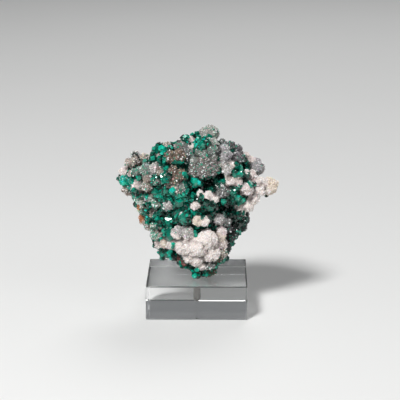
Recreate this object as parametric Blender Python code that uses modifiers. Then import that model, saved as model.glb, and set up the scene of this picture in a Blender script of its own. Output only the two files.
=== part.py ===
"""A dioptase specimen on its mounting pin and clear acrylic base.

The specimen is an inverted cone of rounded druse lumps and green hexagonal crystals, grown together
in one piece. A metal pin in the middle of a square acrylic block carries it. Units are metres, +Z is
up, the front faces -Y, and the origin is the middle of the block's underside.
"""

import math
import random

import bmesh
import bpy
from mathutils import Matrix, Vector, noise
from mathutils.bvhtree import BVHTree

MM = 0.001

# The acrylic base and the pin in its hole.
BASE_SIDE = 50.0 * MM
BASE_HEIGHT = 17.0 * MM
BASE_EDGE = 0.5 * MM
PIN_RADIUS = 1.8 * MM
PIN_CONE = 1.6 * MM
PIN_TOP = 31.0 * MM
HOLE_DEPTH = 13.2 * MM
FIT_GAP = 0.3 * MM
ROUND_SIDES = 32

# The eye that the lists below are measured from: a place on the specimen is given as `right` and `up`
# in its front view, through a point in the pin's plane, and `out`, how far it lies in front of the pin.
VIEW_TARGET = Vector((1.4, 0.0, 54.7)) * MM
VIEW_DISTANCE = 765.7 * MM
VIEW_PITCH = math.radians(13.7)
VIEW_YAW = math.radians(0.74)

# The core that every lump grows on. Its reach from the core's middle is given in mm around the
# front view, anticlockwise from the right.
CORE_MIDDLE = (-1.0, 6.0)
CORE_OUT = -3.0
CORE_FRONT_DEPTH = 17.0
CORE_BACK_DEPTH = 20.0
CORE_ROUNDNESS = 2.4
CORE_UNEVEN = 0.05
BACK_TAPER = 0.6
BACK_TAPER_HEIGHT = 38.0
CORE_REACH = [
    (0, 28), (30, 27), (50, 25), (65, 23), (80, 25), (100, 23), (120, 23), (142, 24), (152, 30),
    (165, 33), (180, 35), (190, 31), (205, 29), (225, 30), (240, 33), (252, 33), (270, 38),
    (282, 36), (292, 32), (305, 28), (320, 28), (340, 27), (360, 28),
]

# Broad swellings of the core: right, up, out, then half sizes across, up and through, all in mm.
MASSES = [
    (1.0, -24.0, 5.0, 13.0, 11.0, 11.0),
    (1.5, -31.0, 4.0, 8.0, 4.6, 9.0),
    (-15.0, -15.0, 3.0, 9.0, 10.0, 8.0),
    (11.0, -12.0, -2.0, 9.0, 11.0, 9.0),
    (12.0, -19.0, -6.0, 4.5, 8.0, 6.0),
    (-19.0, 18.0, -3.0, 7.0, 7.0, 8.0),
    (22.0, 6.0, -3.0, 7.0, 11.0, 7.0),
]

# Hollows between the lumps, cut into the core: right, up, out, half sizes across, up and through,
# and the tilt in the front view in degrees.
HOLLOWS = [
    (5.0, 8.5, 14.0, 12.0, 3.4, 7.0, 28.0),
    (22.0, 16.5, 8.0, 2.0, 5.5, 8.0, -10.0),
    (6.5, -13.0, 16.0, 2.6, 4.6, 7.0, 0.0),
    (11.5, -4.8, 12.0, 5.5, 3.0, 6.0, 0.0),
    (-6.5, 18.3, 15.0, 4.5, 1.8, 5.0, 0.0),
]

# Round lumps: right, up, out and radius in mm.
TOP_LUMPS = [
    (4.5, 32.7, -8.0, 5.3), (5.8, 28.0, -2.0, 3.7), (11.0, 28.3, -3.0, 2.8), (15.0, 26.6, -2.0, 3.4),
    (18.5, 24.8, -3.0, 3.4), (18.5, 20.6, -1.0, 3.8), (12.2, 25.0, 3.0, 3.5), (12.0, 21.0, 5.5, 3.6),
    (5.6, 23.8, 7.0, 4.2), (1.2, 23.4, 7.5, 3.6), (1.8, 19.2, 12.0, 4.0), (6.4, 19.4, 10.0, 3.6),
    (2.0, 15.0, 14.0, 4.4), (6.6, 15.8, 12.5, 3.8), (-3.0, 19.0, 10.5, 3.8), (-2.6, 14.6, 13.0, 4.0),
    (22.8, 22.0, -4.0, 2.3), (25.5, 20.0, -4.0, 2.8), (-4.2, 29.6, -4.0, 2.0), (-3.8, 26.3, 3.5, 2.3),
    (0.5, 27.5, 0.0, 3.4), (-6.5, 29.3, -4.0, 2.8), (-2.0, 31.5, -6.0, 2.6),
]
LEFT_LUMPS = [
    (-14.5, 21.3, 9.0, 3.8), (-10.0, 22.3, 10.0, 3.8), (-6.0, 22.0, 10.0, 3.4), (-9.5, 26.0, 3.5, 3.5),
    (-7.0, 25.0, 5.5, 3.2), (-3.0, 22.5, 9.0, 2.8), (-16.5, 27.0, -1.0, 2.9), (-16.0, 24.6, 3.0, 2.5),
    (-21.5, 21.0, 0.0, 4.4), (-19.0, 26.0, -3.0, 3.0), (-13.5, 11.0, 13.5, 4.6), (-9.0, 12.2, 14.5, 3.5),
    (-12.0, 6.0, 14.5, 3.8), (-8.0, 6.2, 15.5, 2.8), (-15.5, 8.0, 13.5, 3.0), (-14.0, 15.0, 12.5, 2.7),
    (-30.5, 14.0, 4.5, 3.2), (-27.0, 15.0, 7.0, 3.7), (-23.0, 15.5, 8.0, 3.3), (-20.0, 14.0, 9.5, 2.9),
    (-31.0, 6.5, 5.0, 3.4), (-27.0, 7.0, 8.0, 3.4), (-26.5, 11.0, 8.5, 2.8), (-22.0, 9.5, 10.0, 2.8),
    (-35.0, 18.6, -3.0, 3.1), (-32.0, 19.8, -2.5, 2.8), (-28.0, 21.0, -4.0, 2.9), (-32.5, 22.6, -7.0, 2.6),
    (-37.6, 14.0, -1.5, 3.1), (-34.0, 13.5, 2.5, 2.5), (-37.7, 9.5, -1.0, 3.3), (-35.0, 7.0, 2.0, 3.2),
    (-35.6, 4.0, 0.0, 2.6),
]
RIGHT_LUMPS = [
    (27.0, 16.5, -6.0, 5.3), (10.5, 18.0, 7.0, 2.8), (13.5, 15.5, 7.5, 3.5), (16.0, 17.3, 6.0, 2.7),
    (13.5, 11.5, 10.0, 2.0), (14.0, 8.5, 10.0, 2.1), (16.3, 9.5, 8.0, 3.1), (18.6, 8.3, 7.0, 3.3),
    (23.0, 13.6, 0.0, 2.0), (25.5, 12.6, 2.0, 3.3), (28.0, 9.0, 2.0, 3.3), (29.4, 4.2, 3.0, 3.3),
    (27.4, 0.4, 5.0, 3.2), (24.2, -3.0, 6.2, 3.4), (20.3, -4.2, 6.5, 3.4), (23.2, 5.4, 8.0, 3.9),
    (31.0, 8.0, -1.5, 4.3), (34.0, 6.8, -3.0, 5.0), (36.8, 7.8, -3.0, 2.8), (20.0, -9.0, -4.5, 4.4),
    (20.5, -13.0, -6.0, 3.4), (15.0, -18.5, -5.0, 3.6), (13.0, -23.5, -4.0, 3.2), (9.0, 26.0, 1.0, 3.0),
    (15.0, 22.8, 3.0, 2.8), (16.5, 5.0, 9.0, 2.6), (15.0, 1.2, 8.0, 2.8), (19.0, 12.5, 5.0, 2.6),
    (17.0, -7.5, 2.0, 3.0), (17.5, -12.5, 0.0, 3.2), (26.0, 8.5, 3.0, 2.6), (24.0, 1.5, 4.0, 2.8),
]
MIDDLE_LUMPS = [
    (0.2, 3.0, 13.5, 2.4), (4.0, 2.2, 14.0, 2.8), (7.0, 0.6, 14.0, 3.0), (11.5, 4.0, 12.5, 3.7),
    (-16.0, -3.0, 13.5, 2.9), (-2.3, -2.8, 15.0, 2.7), (-9.0, -7.0, 15.5, 2.5), (-6.8, -9.5, 16.0, 2.3),
    (-1.0, -10.4, 16.0, 3.0), (2.2, -10.9, 15.5, 2.9), (9.5, -9.5, 11.0, 3.1), (13.0, -10.5, 9.0, 3.0),
    (14.0, -14.0, 7.0, 2.9), (10.8, -16.0, 11.0, 3.0), (4.6, -9.0, 13.0, 2.4), (-11.0, -16.5, 14.5, 3.9),
    (-6.5, -16.5, 16.0, 3.7),
]
LOW_LUMPS = [
    (-17.5, -21.6, 9.0, 3.2), (-13.5, -22.0, 12.0, 3.8), (-7.5, -23.0, 14.0, 5.4), (-1.5, -23.5, 15.5, 6.0),
    (3.5, -20.0, 15.0, 5.6), (5.0, -26.5, 13.5, 5.4), (-1.0, -29.2, 13.5, 4.6), (-5.0, -27.6, 12.0, 4.4),
    (9.5, -18.2, 11.0, 3.7), (11.0, -22.5, 9.5, 3.5), (11.0, -26.5, 8.5, 3.2), (7.5, -22.5, 13.0, 3.6),
    (8.5, -29.4, 8.0, 3.0), (1.0, -32.5, 12.5, 3.4), (4.5, -31.5, 10.5, 3.4), (-2.0, -35.0, 10.5, 2.7),
    (1.0, -36.3, 11.0, 2.4), (4.6, -36.0, 10.5, 2.8), (6.6, -35.6, 9.5, 2.2), (-14.0, -26.5, 7.0, 2.8),
    (-10.5, -28.8, 8.0, 2.8), (-7.0, -31.2, 9.0, 2.9), (-17.8, -25.5, 6.0, 2.4), (-18.2, -27.4, 5.0, 2.4),
]
LEFT_EDGE_LUMPS = [
    (-29.5, 0.5, 1.5, 3.8), (-25.0, 2.0, 6.5, 3.5), (-22.5, -1.5, 8.5, 3.4), (-28.0, -4.0, 2.0, 3.8),
    (-24.0, -6.0, 6.5, 3.5), (-27.8, -9.0, 0.5, 3.2), (-25.0, -12.3, 2.5, 3.4), (-21.5, -12.0, 7.5, 3.4),
    (-21.5, -17.0, 5.0, 3.6), (-20.8, -21.3, 4.0, 3.2),
]
ALL_LUMPS = TOP_LUMPS + LEFT_LUMPS + RIGHT_LUMPS + MIDDLE_LUMPS + LOW_LUMPS + LEFT_EDGE_LUMPS
SMALL_LUMP = 4.5
LUMP_ROUGHNESS = 0.1
LUMP_SUNK = 0.25
LUMP_FLATNESS = 0.95

# Lumps on the side that the front view doesn't show. They reach at most the overhang (mm) past the
# core's own outline in the front view.
BACK_LUMPS = 105
BACK_LUMP_SIZES = (2.6, 5.4)
BACK_LUMP_SPACING = 5.0 * MM
BACK_LUMP_SUNK = 0.4
BACK_OVERHANG = 2.4
SMALLEST_BACK_LUMP = 1.8
# The rays that find places on the back: how steeply they fall, where they aim (mm) and how far off
# they start (m).
BACK_RAY_RISE = (-0.4, 1.2)
BACK_AIM_RIGHT = (-34.0, 30.0)
BACK_AIM_UP = (-32.0, 28.0)
BACK_AIM_OUT = (-18.0, 0.0)
BACK_RAY_START = 0.2
LOWEST_BACK_LUMP = BASE_HEIGHT + 6.5 * MM
LOWEST_CRYSTAL = BASE_HEIGHT + 1.0 * MM

# Large crystals: right, up in mm, length, width, then the lean to the right and up in degrees.
LARGE_CRYSTALS = [
    (-16.0, -11.5, 7.0, 4.4, 0, 70), (-15.5, -16.5, 7.0, 4.6, 10, -60), (-11.0, 19.0, 6.5, 2.6, 80, 0),
    (-18.3, 24.5, 5.5, 2.4, -25, 60), (-13.5, 27.0, 5.0, 3.4, 20, 50), (-10.0, 2.5, 5.0, 4.0, 10, 20),
    (-11.5, -2.0, 6.0, 4.6, 0, 10), (4.0, -2.6, 7.0, 5.2, 20, -10), (1.6, -2.0, 5.5, 4.6, -30, 10),
    (-2.8, 9.5, 6.0, 3.6, -20, 30), (-1.2, 8.6, 5.0, 3.2, 40, 10), (11.8, -0.8, 4.5, 3.4, 10, -30),
    (18.8, 1.2, 5.0, 3.2, -20, 20), (21.0, -0.4, 4.6, 3.0, 40, -20), (19.4, 15.2, 5.0, 3.0, 0, 60),
    (17.5, 12.6, 4.5, 3.2, -50, 0), (-16.8, 4.4, 6.0, 3.4, -30, 20), (-18.0, 12.0, 6.0, 3.2, -30, 50),
    (-21.5, 3.4, 5.0, 3.4, -20, 0), (-8.2, -10.0, 5.5, 3.6, 0, 20), (-3.0, -6.8, 4.0, 2.8, 10, 0),
    (-13.6, -22.8, 3.4, 2.2, 0, 60), (8.0, 8.8, 6.0, 3.6, -10, 60), (5.2, 12.2, 5.0, 3.0, 20, -20),
    (-33.0, 16.6, 5.0, 3.2, -10, 40), (-30.6, 11.0, 4.6, 3.2, 0, 30), (-27.2, 18.8, 5.0, 3.0, 10, 60),
    (-7.0, 30.8, 5.0, 3.0, -30, 70), (-4.6, 32.6, 4.6, 2.8, -10, 80), (1.0, 27.0, 5.0, 3.2, 10, 40),
    (-37.0, 9.0, 4.6, 3.0, -60, 10), (-1.2, -34.6, 4.6, 2.8, -20, -30), (3.0, -36.6, 4.0, 2.6, 20, -50),
    (25.4, 7.6, 4.0, 2.4, 40, -50), (-21.0, 25.0, 6.0, 3.2, -30, 50), (-23.0, 20.0, 6.0, 3.4, -30, 30),
]

# Green ground where smaller crystals crowd together: right, up, radius in mm, then their number.
CRYSTAL_GROUND = [
    (-20.0, 21.0, 6.0, 14), (-18.0, 13.0, 4.0, 8), (-16.5, 1.0, 6.0, 14), (-9.0, -1.0, 6.0, 12),
    (-17.0, -10.0, 6.0, 12), (-7.0, -8.0, 5.0, 9), (3.0, -3.5, 6.0, 10), (8.0, 7.0, 5.0, 9),
    (-35.0, 8.0, 4.5, 9), (-27.0, -2.0, 6.0, 12), (-24.0, -10.0, 5.0, 10), (-21.0, -18.0, 5.0, 9),
    (0.0, 28.0, 4.5, 8), (-6.0, 30.0, 3.5, 5), (20.0, 1.5, 4.0, 6), (19.0, 15.0, 3.5, 5),
    (-12.0, -28.0, 5.0, 7), (4.0, -34.0, 4.0, 6), (20.0, -8.5, 4.5, 6), (-30.0, 18.0, 5.0, 7),
]
BACK_CRYSTALS = 70
BACK_CRYSTAL_SPACING = 2.5 * MM
BACK_TRIES = 4000
BACK_FACING = 0.1
CRYSTAL_LENGTHS = (3.2, 5.2)
CRYSTAL_WIDTHS = (1.8, 3.0)
CRYSTAL_SUNK = 0.55
CRYSTAL_LEAN = 0.7
LEAN_SCALE = 0.9
TIP_SLOPE = 0.9

# The hole in the specimen starts this far below the block's top, clear of the specimen's foot.
DRILL_START = 6.0 * MM
DRILL_POINT = 1.0 * MM

# Seeds of the random choices, and the first noise seed of each kind of ball.
BACK_LUMP_SEED = 11
CRYSTAL_SEED = 5
BACK_CRYSTAL_SEED = 23
MASS_NOISE = 50
HOLLOW_NOISE = 80
BACK_LUMP_NOISE = 200

# The most triangles that the specimen keeps once everything is joined.
MOST_TRIANGLES = 9200
EASING_ROUNDS = 30
EASING_SHARE = 0.5

# Noise on the balls, for one of radius 1: its broad swellings, its grain and the grain's share.
SWELL_SCALE = 1.7
GRAIN_SCALE = 4.1
GRAIN_SHARE = 0.8

# Edges of the pin that are sharper than this many degrees stay sharp.
SHARP_EDGE = 35

# Colours of the three finishes.
DRUSE_GREEN = (0.05, 0.28, 0.21, 1.0)
PIN_METAL = (0.62, 0.61, 0.58, 1.0)
CLEAR_ACRYLIC = (0.93, 0.95, 0.95, 1.0)


def clear_scene():
    """Takes every object and helper collection out of the scene."""
    for obj in list(bpy.data.objects):
        bpy.data.objects.remove(obj, do_unlink=True)


def new_collection(name):
    """An empty collection in the scene."""
    collection = bpy.data.collections.new(name)
    bpy.context.scene.collection.children.link(collection)
    return collection


def finish_material(name, colour, roughness, metallic=0.0, transmission=0.0):
    """A Principled BSDF with one colour."""
    material = bpy.data.materials.new(name)
    material.use_nodes = True
    shader = material.node_tree.nodes["Principled BSDF"]
    shader.inputs["Base Color"].default_value = colour
    shader.inputs["Roughness"].default_value = roughness
    shader.inputs["Metallic"].default_value = metallic
    shader.inputs["Transmission Weight"].default_value = transmission
    material.diffuse_color = colour
    return material


def object_from(bm, name, collection):
    """Turns a bmesh into a named object of the collection."""
    mesh = bpy.data.meshes.new(name)
    bm.to_mesh(mesh)
    bm.free()
    obj = bpy.data.objects.new(name, mesh)
    collection.objects.link(obj)
    return obj


def sight_axes():
    """The eye's place and the front view's right and up directions."""
    right = Vector((math.cos(VIEW_YAW), math.sin(VIEW_YAW), 0.0))
    back = Vector((
        math.sin(VIEW_YAW) * math.cos(VIEW_PITCH),
        -math.cos(VIEW_YAW) * math.cos(VIEW_PITCH),
        math.sin(VIEW_PITCH),
    ))
    return VIEW_TARGET + back * VIEW_DISTANCE, right, back.cross(right)


def sight_point(right, up):
    """The point of the target's plane that the eye sees at (right, up), in mm from the view's middle."""
    axis_right, axis_up = sight_axes()[1:]
    return VIEW_TARGET + axis_right * right * MM + axis_up * up * MM


def placed(right, up, out):
    """The point that the eye sees at (right, up) and that lies `out` in front of the pin, all in mm."""
    eye = sight_axes()[0]
    ray = sight_point(right, up) - eye
    return eye + ray * ((-out * MM - eye.y) / ray.y)


def roughen(bm, share, seed):
    """Moves each corner of a ball of radius 1 in or out by smooth noise."""
    for vert in bm.verts:
        swell = noise.noise(vert.co * SWELL_SCALE + Vector((seed * 3.1, seed * 1.7, 0.0)))
        grain = noise.noise(vert.co * GRAIN_SCALE + Vector((0.0, seed * 2.3, seed * 1.3)))
        vert.co *= 1.0 + share * (swell + GRAIN_SHARE * grain)


def rough_ball(name, place, half_sizes, subdivisions, seed, collection, tilt=0.0):
    """An icosphere with an uneven surface, stretched to its half sizes (mm) and set in place."""
    bm = bmesh.new()
    bmesh.ops.create_icosphere(bm, subdivisions=subdivisions, radius=1.0)
    roughen(bm, LUMP_ROUGHNESS, seed)
    across, high, deep = half_sizes
    turn = Matrix.Rotation(seed * 2.4, 4, "Z") @ Matrix.Rotation(seed * 1.1, 4, "X")
    stretch = Matrix.Diagonal((across * MM, deep * MM, high * MM, 1.0))
    lean = Matrix.Rotation(-math.radians(tilt), 4, "Y")
    bmesh.ops.transform(bm, matrix=Matrix.Translation(place) @ lean @ stretch @ turn, verts=bm.verts)
    return object_from(bm, name, collection)


def core_reach(angle):
    """How far the core reaches from its middle at this angle (degrees) of the front view."""
    for (start, near), (end, far) in zip(CORE_REACH, CORE_REACH[1:]):
        if start <= angle <= end:
            share = (angle - start) / (end - start)
            return near + (far - near) * share
    return CORE_REACH[0][1]


def back_taper(up):
    """The share of the back's depth that is left at this height, as the back runs in towards the foot."""
    return 1.0 - BACK_TAPER * min(1.0, max(0.0, (CORE_MIDDLE[1] - up) / BACK_TAPER_HEIGHT))


def make_core(collection):
    """The core: an icosphere pushed out to the reach around the front view, blunter than a ball."""
    bm = bmesh.new()
    bmesh.ops.create_icosphere(bm, subdivisions=4, radius=1.0)
    for vert in bm.verts:
        direction = vert.co.normalized()
        angle = math.degrees(math.atan2(direction.z, direction.x)) % 360.0
        flat = math.hypot(direction.x, direction.z)
        power = (flat ** CORE_ROUNDNESS + abs(direction.y) ** CORE_ROUNDNESS) ** (-1.0 / CORE_ROUNDNESS)
        reach = core_reach(angle) * flat * power
        uneven = 1.0 + CORE_UNEVEN * (noise.noise(direction * 3.0) + noise.noise(direction * 7.0))
        right = CORE_MIDDLE[0] + reach * uneven * math.cos(math.radians(angle))
        up = CORE_MIDDLE[1] + reach * uneven * math.sin(math.radians(angle))
        depth = CORE_FRONT_DEPTH if direction.y < 0 else CORE_BACK_DEPTH * back_taper(up)
        vert.co = placed(right, up, CORE_OUT - direction.y * power * depth * uneven)
    return object_from(bm, "dioptase_specimen", collection)


def make_crystal(name, foot, axis, length, width, twist, collection):
    """A hexagonal prism with three rhombohedral faces at its tip, growing from its foot along its axis."""
    bm = bmesh.new()
    bmesh.ops.create_cone(
        bm, cap_ends=True, segments=6, radius1=width / 2, radius2=width / 2, depth=length
    )
    top = max(bm.faces, key=lambda face: face.calc_center_median().z)
    tip = bmesh.ops.poke(bm, faces=[top])["verts"][0]
    rim = sorted((edge.other_vert(tip) for edge in tip.link_edges), key=lambda v: math.atan2(v.co.y, v.co.x))
    for index, vert in enumerate(rim):
        vert.co.z -= TIP_SLOPE * width / 2 * (1.0 if index % 2 else 0.5)
    lift = Matrix.Translation((0.0, 0.0, length / 2))
    turn = axis.to_track_quat("Z", "Y").to_matrix().to_4x4()
    place = Matrix.Translation(foot) @ turn @ Matrix.Rotation(twist, 4, "Z") @ lift
    bmesh.ops.transform(bm, matrix=place, verts=bm.verts)
    return object_from(bm, name, collection)


def boolean(obj, other, operation):
    """Joins a whole collection to the object, or cuts it away, and applies the result."""
    modifier = obj.modifiers.new(operation.lower(), "BOOLEAN")
    modifier.operation = operation
    modifier.operand_type = "COLLECTION"
    modifier.collection = other
    modifier.solver = "EXACT"
    bpy.context.view_layer.update()
    evaluated = obj.evaluated_get(bpy.context.evaluated_depsgraph_get())
    joined = bpy.data.meshes.new_from_object(evaluated)
    obj.modifiers.remove(modifier)
    obj.data = joined


def empty_out(collection):
    """Removes the helper objects of a collection, and the collection."""
    for obj in list(collection.objects):
        bpy.data.objects.remove(obj, do_unlink=True)
    bpy.data.collections.remove(collection)


def keep_outer_shell(obj):
    """Keeps the largest connected surface, which fills any bubble left closed between the lumps."""
    bm = bmesh.new()
    bm.from_mesh(obj.data)
    unseen = set(bm.verts)
    shells = []
    while unseen:
        stack = [unseen.pop()]
        shell = set(stack)
        while stack:
            for edge in stack.pop().link_edges:
                for vert in edge.verts:
                    if vert in unseen:
                        unseen.remove(vert)
                        shell.add(vert)
                        stack.append(vert)
        shells.append(shell)
    shells.sort(key=len)
    for shell in shells[:-1]:
        bmesh.ops.delete(bm, geom=list(shell), context="VERTS")
    bm.to_mesh(obj.data)
    bm.free()


def crossing_corners(bm):
    """The corners of faces that cut through a face they share no corner with."""
    bm.faces.ensure_lookup_table()
    tree = BVHTree.FromBMesh(bm)
    corners = set()
    for one, two in tree.overlap(tree):
        first = set(bm.faces[one].verts)
        second = set(bm.faces[two].verts)
        if not first & second:
            corners |= first | second
    return corners


def thin_out(obj, most_triangles):
    """Collapses short edges down to a number of triangles, then eases apart the faces that cross."""
    bm = bmesh.new()
    bm.from_mesh(obj.data)
    bmesh.ops.triangulate(bm, faces=bm.faces)
    bm.to_mesh(obj.data)
    ratio = most_triangles / len(bm.faces)
    bm.free()
    modifier = obj.modifiers.new("fewer_faces", "DECIMATE")
    modifier.ratio = min(1.0, ratio)
    bpy.context.view_layer.update()
    evaluated = obj.evaluated_get(bpy.context.evaluated_depsgraph_get())
    thinned = bpy.data.meshes.new_from_object(evaluated)
    obj.modifiers.remove(modifier)
    bm = bmesh.new()
    bm.from_mesh(thinned)
    for _ in range(EASING_ROUNDS):
        corners = crossing_corners(bm)
        if not corners:
            break
        bmesh.ops.smooth_vert(
            bm, verts=list(corners), factor=EASING_SHARE, use_axis_x=True, use_axis_y=True, use_axis_z=True
        )
    bm.to_mesh(thinned)
    bm.free()
    obj.data = thinned


def surface_of(obj):
    """A tree of the object's surface, for rays."""
    bm = bmesh.new()
    bm.from_mesh(obj.data)
    tree = BVHTree.FromBMesh(bm)
    bm.free()
    return tree


def seen_on(tree, right, up):
    """Where the eye's ray through (right, up) first meets the surface, and the surface's direction."""
    eye = sight_axes()[0]
    return tree.ray_cast(eye, (sight_point(right, up) - eye).normalized())[:2]


def add_masses(helpers):
    """The broad swellings of the core."""
    for index, (right, up, out, *half_sizes) in enumerate(MASSES):
        rough_ball("mass", placed(right, up, out), half_sizes, 3, index + MASS_NOISE, helpers)


def add_lumps(specimen, helpers):
    """The round lumps of the front view. One that the core would swallow comes out to its surface."""
    tree = surface_of(specimen)
    for index, (right, up, out, radius) in enumerate(ALL_LUMPS):
        spot = seen_on(tree, right, up)[0]
        if spot is not None:
            out = max(out, -spot.y / MM - radius * LUMP_SUNK)
        detail = 3 if radius > SMALL_LUMP else 2
        sizes = (radius, radius * LUMP_FLATNESS, radius)
        rough_ball("lump", placed(right, up, out), sizes, detail, index, helpers)


def back_spots(specimen, count, spacing, seed):
    """Places at least `spacing` apart, from rays that meet the specimen anywhere but on its front."""
    rng = random.Random(seed)
    tree = surface_of(specimen)
    spots = []
    for _ in range(BACK_TRIES):
        azimuth = math.radians(rng.uniform(0.0, 180.0))
        away = Vector((math.cos(azimuth), math.sin(azimuth), rng.uniform(*BACK_RAY_RISE))).normalized()
        aim = placed(rng.uniform(*BACK_AIM_RIGHT), rng.uniform(*BACK_AIM_UP), rng.uniform(*BACK_AIM_OUT))
        spot, direction = tree.ray_cast(aim + away * BACK_RAY_START, -away)[:2]
        if spot is None or direction.y < BACK_FACING or spot.z < LOWEST_BACK_LUMP:
            continue
        if all((spot - other).length > spacing for other, _ in spots):
            spots.append((spot, direction))
        if len(spots) == count:
            break
    return spots


def seen_reach(point):
    """How far from the core's middle the eye sees a point, and how far the core reaches there, in mm."""
    eye, axis_right, axis_up = sight_axes()
    away = point - eye
    scale = VIEW_DISTANCE / MM / away.dot((VIEW_TARGET - eye).normalized())
    right = away.dot(axis_right) * scale - CORE_MIDDLE[0]
    up = away.dot(axis_up) * scale - CORE_MIDDLE[1]
    return math.hypot(right, up), core_reach(math.degrees(math.atan2(up, right)) % 360.0)


def add_back_lumps(specimen, helpers):
    """Round lumps over the back, each sunk by a little under half and kept within the outline."""
    rng = random.Random(BACK_LUMP_SEED)
    spots = back_spots(specimen, BACK_LUMPS, BACK_LUMP_SPACING, BACK_LUMP_SEED)
    for index, (spot, direction) in enumerate(spots):
        radius = rng.uniform(*BACK_LUMP_SIZES)
        place = spot - direction * radius * BACK_LUMP_SUNK * MM
        seen, reach = seen_reach(place)
        radius = min(radius, reach + BACK_OVERHANG - seen)
        if radius > SMALLEST_BACK_LUMP:
            sizes = (radius, radius, radius)
            rough_ball("back lump", place, sizes, 2, index + BACK_LUMP_NOISE, helpers)


def grow_crystal(spot, axis, length, width, twist, helpers):
    """A crystal whose foot is sunk in the surface at this spot, unless it would touch the base."""
    foot = spot - axis * length * CRYSTAL_SUNK
    if min(foot.z, (foot + axis * length).z) > LOWEST_CRYSTAL + width / 2:
        make_crystal("crystal", foot, axis, length, width, twist, helpers)


def add_crystals(specimen, helpers):
    """The large crystals, the smaller ones on green ground, and those on the back."""
    rng = random.Random(CRYSTAL_SEED)
    tree = surface_of(specimen)
    eye, axis_right, axis_up = sight_axes()
    towards_eye = (eye - VIEW_TARGET).normalized()
    for right, up, length, width, lean_right, lean_up in LARGE_CRYSTALS:
        spot = seen_on(tree, right, up)[0]
        if spot is None:
            continue
        axis = towards_eye + axis_right * math.tan(math.radians(lean_right) * LEAN_SCALE)
        axis += axis_up * math.tan(math.radians(lean_up) * LEAN_SCALE)
        grow_crystal(spot, axis.normalized(), length * MM, width * MM, rng.uniform(0, 1), helpers)
    for right, up, radius, count in CRYSTAL_GROUND:
        for _ in range(count):
            turn = rng.uniform(0.0, math.tau)
            away = radius * math.sqrt(rng.random())
            spot, direction = seen_on(tree, right + away * math.cos(turn), up + away * math.sin(turn))
            if spot is not None:
                scatter_crystal(spot, direction, rng, helpers)
    for spot, direction in back_spots(specimen, BACK_CRYSTALS, BACK_CRYSTAL_SPACING, BACK_CRYSTAL_SEED):
        seen, reach = seen_reach(spot)
        if seen < reach:
            scatter_crystal(spot, direction, rng, helpers)


def scatter_crystal(spot, direction, rng, helpers):
    """A small crystal that leans at random from the surface."""
    lean = Vector((rng.uniform(-1, 1), rng.uniform(-1, 1), rng.uniform(-1, 1)))
    axis = (direction + lean * CRYSTAL_LEAN).normalized()
    length = rng.uniform(*CRYSTAL_LENGTHS) * MM
    width = rng.uniform(*CRYSTAL_WIDTHS) * MM
    grow_crystal(spot, axis, length, width, rng.uniform(0, 1), helpers)


def turned_post(name, radius, bottom, shoulder, top, collection):
    """A round post from its top down to the shoulder, then a cone to its point at the bottom."""
    bm = bmesh.new()
    bmesh.ops.create_cone(
        bm, cap_ends=True, segments=ROUND_SIDES, radius1=radius, radius2=radius, depth=top - shoulder
    )
    bmesh.ops.translate(bm, verts=bm.verts, vec=(0.0, 0.0, (top + shoulder) / 2))
    floor = min(bm.faces, key=lambda face: face.calc_center_median().z)
    point = bmesh.ops.poke(bm, faces=[floor])["verts"][0]
    point.co.z = bottom
    return object_from(bm, name, collection)


def smooth_round_side(obj):
    """Shades the round side smooth and keeps its edges sharp."""
    obj.data.shade_smooth()
    obj.data.set_sharp_from_angle(angle=math.radians(SHARP_EDGE))


def cut_with(obj, cutter):
    """Cuts the helper's shape out of the object with a Boolean modifier."""
    cutter.hide_render = True
    cutter.display_type = "WIRE"
    modifier = obj.modifiers.new(cutter.name, "BOOLEAN")
    modifier.operation = "DIFFERENCE"
    modifier.solver = "EXACT"
    modifier.object = cutter


def make_specimen(parts, cutters):
    """The specimen: core, hollows, lumps and crystals in one solid, drilled for the pin."""
    specimen = make_core(parts)
    masses = new_collection("masses")
    add_masses(masses)
    boolean(specimen, masses, "UNION")
    empty_out(masses)
    hollows = new_collection("hollows")
    for index, (right, up, out, across, high, deep, tilt) in enumerate(HOLLOWS):
        sizes = (across, high, deep)
        rough_ball("hollow", placed(right, up, out), sizes, 3, index + HOLLOW_NOISE, hollows, tilt)
    boolean(specimen, hollows, "DIFFERENCE")
    empty_out(hollows)
    lumps = new_collection("lumps")
    add_lumps(specimen, lumps)
    add_back_lumps(specimen, lumps)
    boolean(specimen, lumps, "UNION")
    empty_out(lumps)
    crystals = new_collection("crystals")
    add_crystals(specimen, crystals)
    boolean(specimen, crystals, "UNION")
    empty_out(crystals)
    keep_outer_shell(specimen)
    thin_out(specimen, MOST_TRIANGLES)
    start = BASE_HEIGHT - DRILL_START
    drill = turned_post(
        "specimen_drill", PIN_RADIUS + FIT_GAP, start, start + DRILL_POINT, PIN_TOP + FIT_GAP, cutters
    )
    cut_with(specimen, drill)
    specimen.data.materials.clear()
    specimen.data.materials.append(finish_material("green_druse", DRUSE_GREEN, 0.45))
    return specimen


def make_pin(parts):
    """The metal pin, with a conical lower end in the base and a flat top inside the specimen."""
    tip = BASE_HEIGHT - HOLE_DEPTH + FIT_GAP
    pin = turned_post("mounting_pin", PIN_RADIUS, tip, tip + PIN_CONE, PIN_TOP, parts)
    smooth_round_side(pin)
    pin.data.materials.append(finish_material("pin_metal", PIN_METAL, 0.3, metallic=1.0))
    return pin


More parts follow.
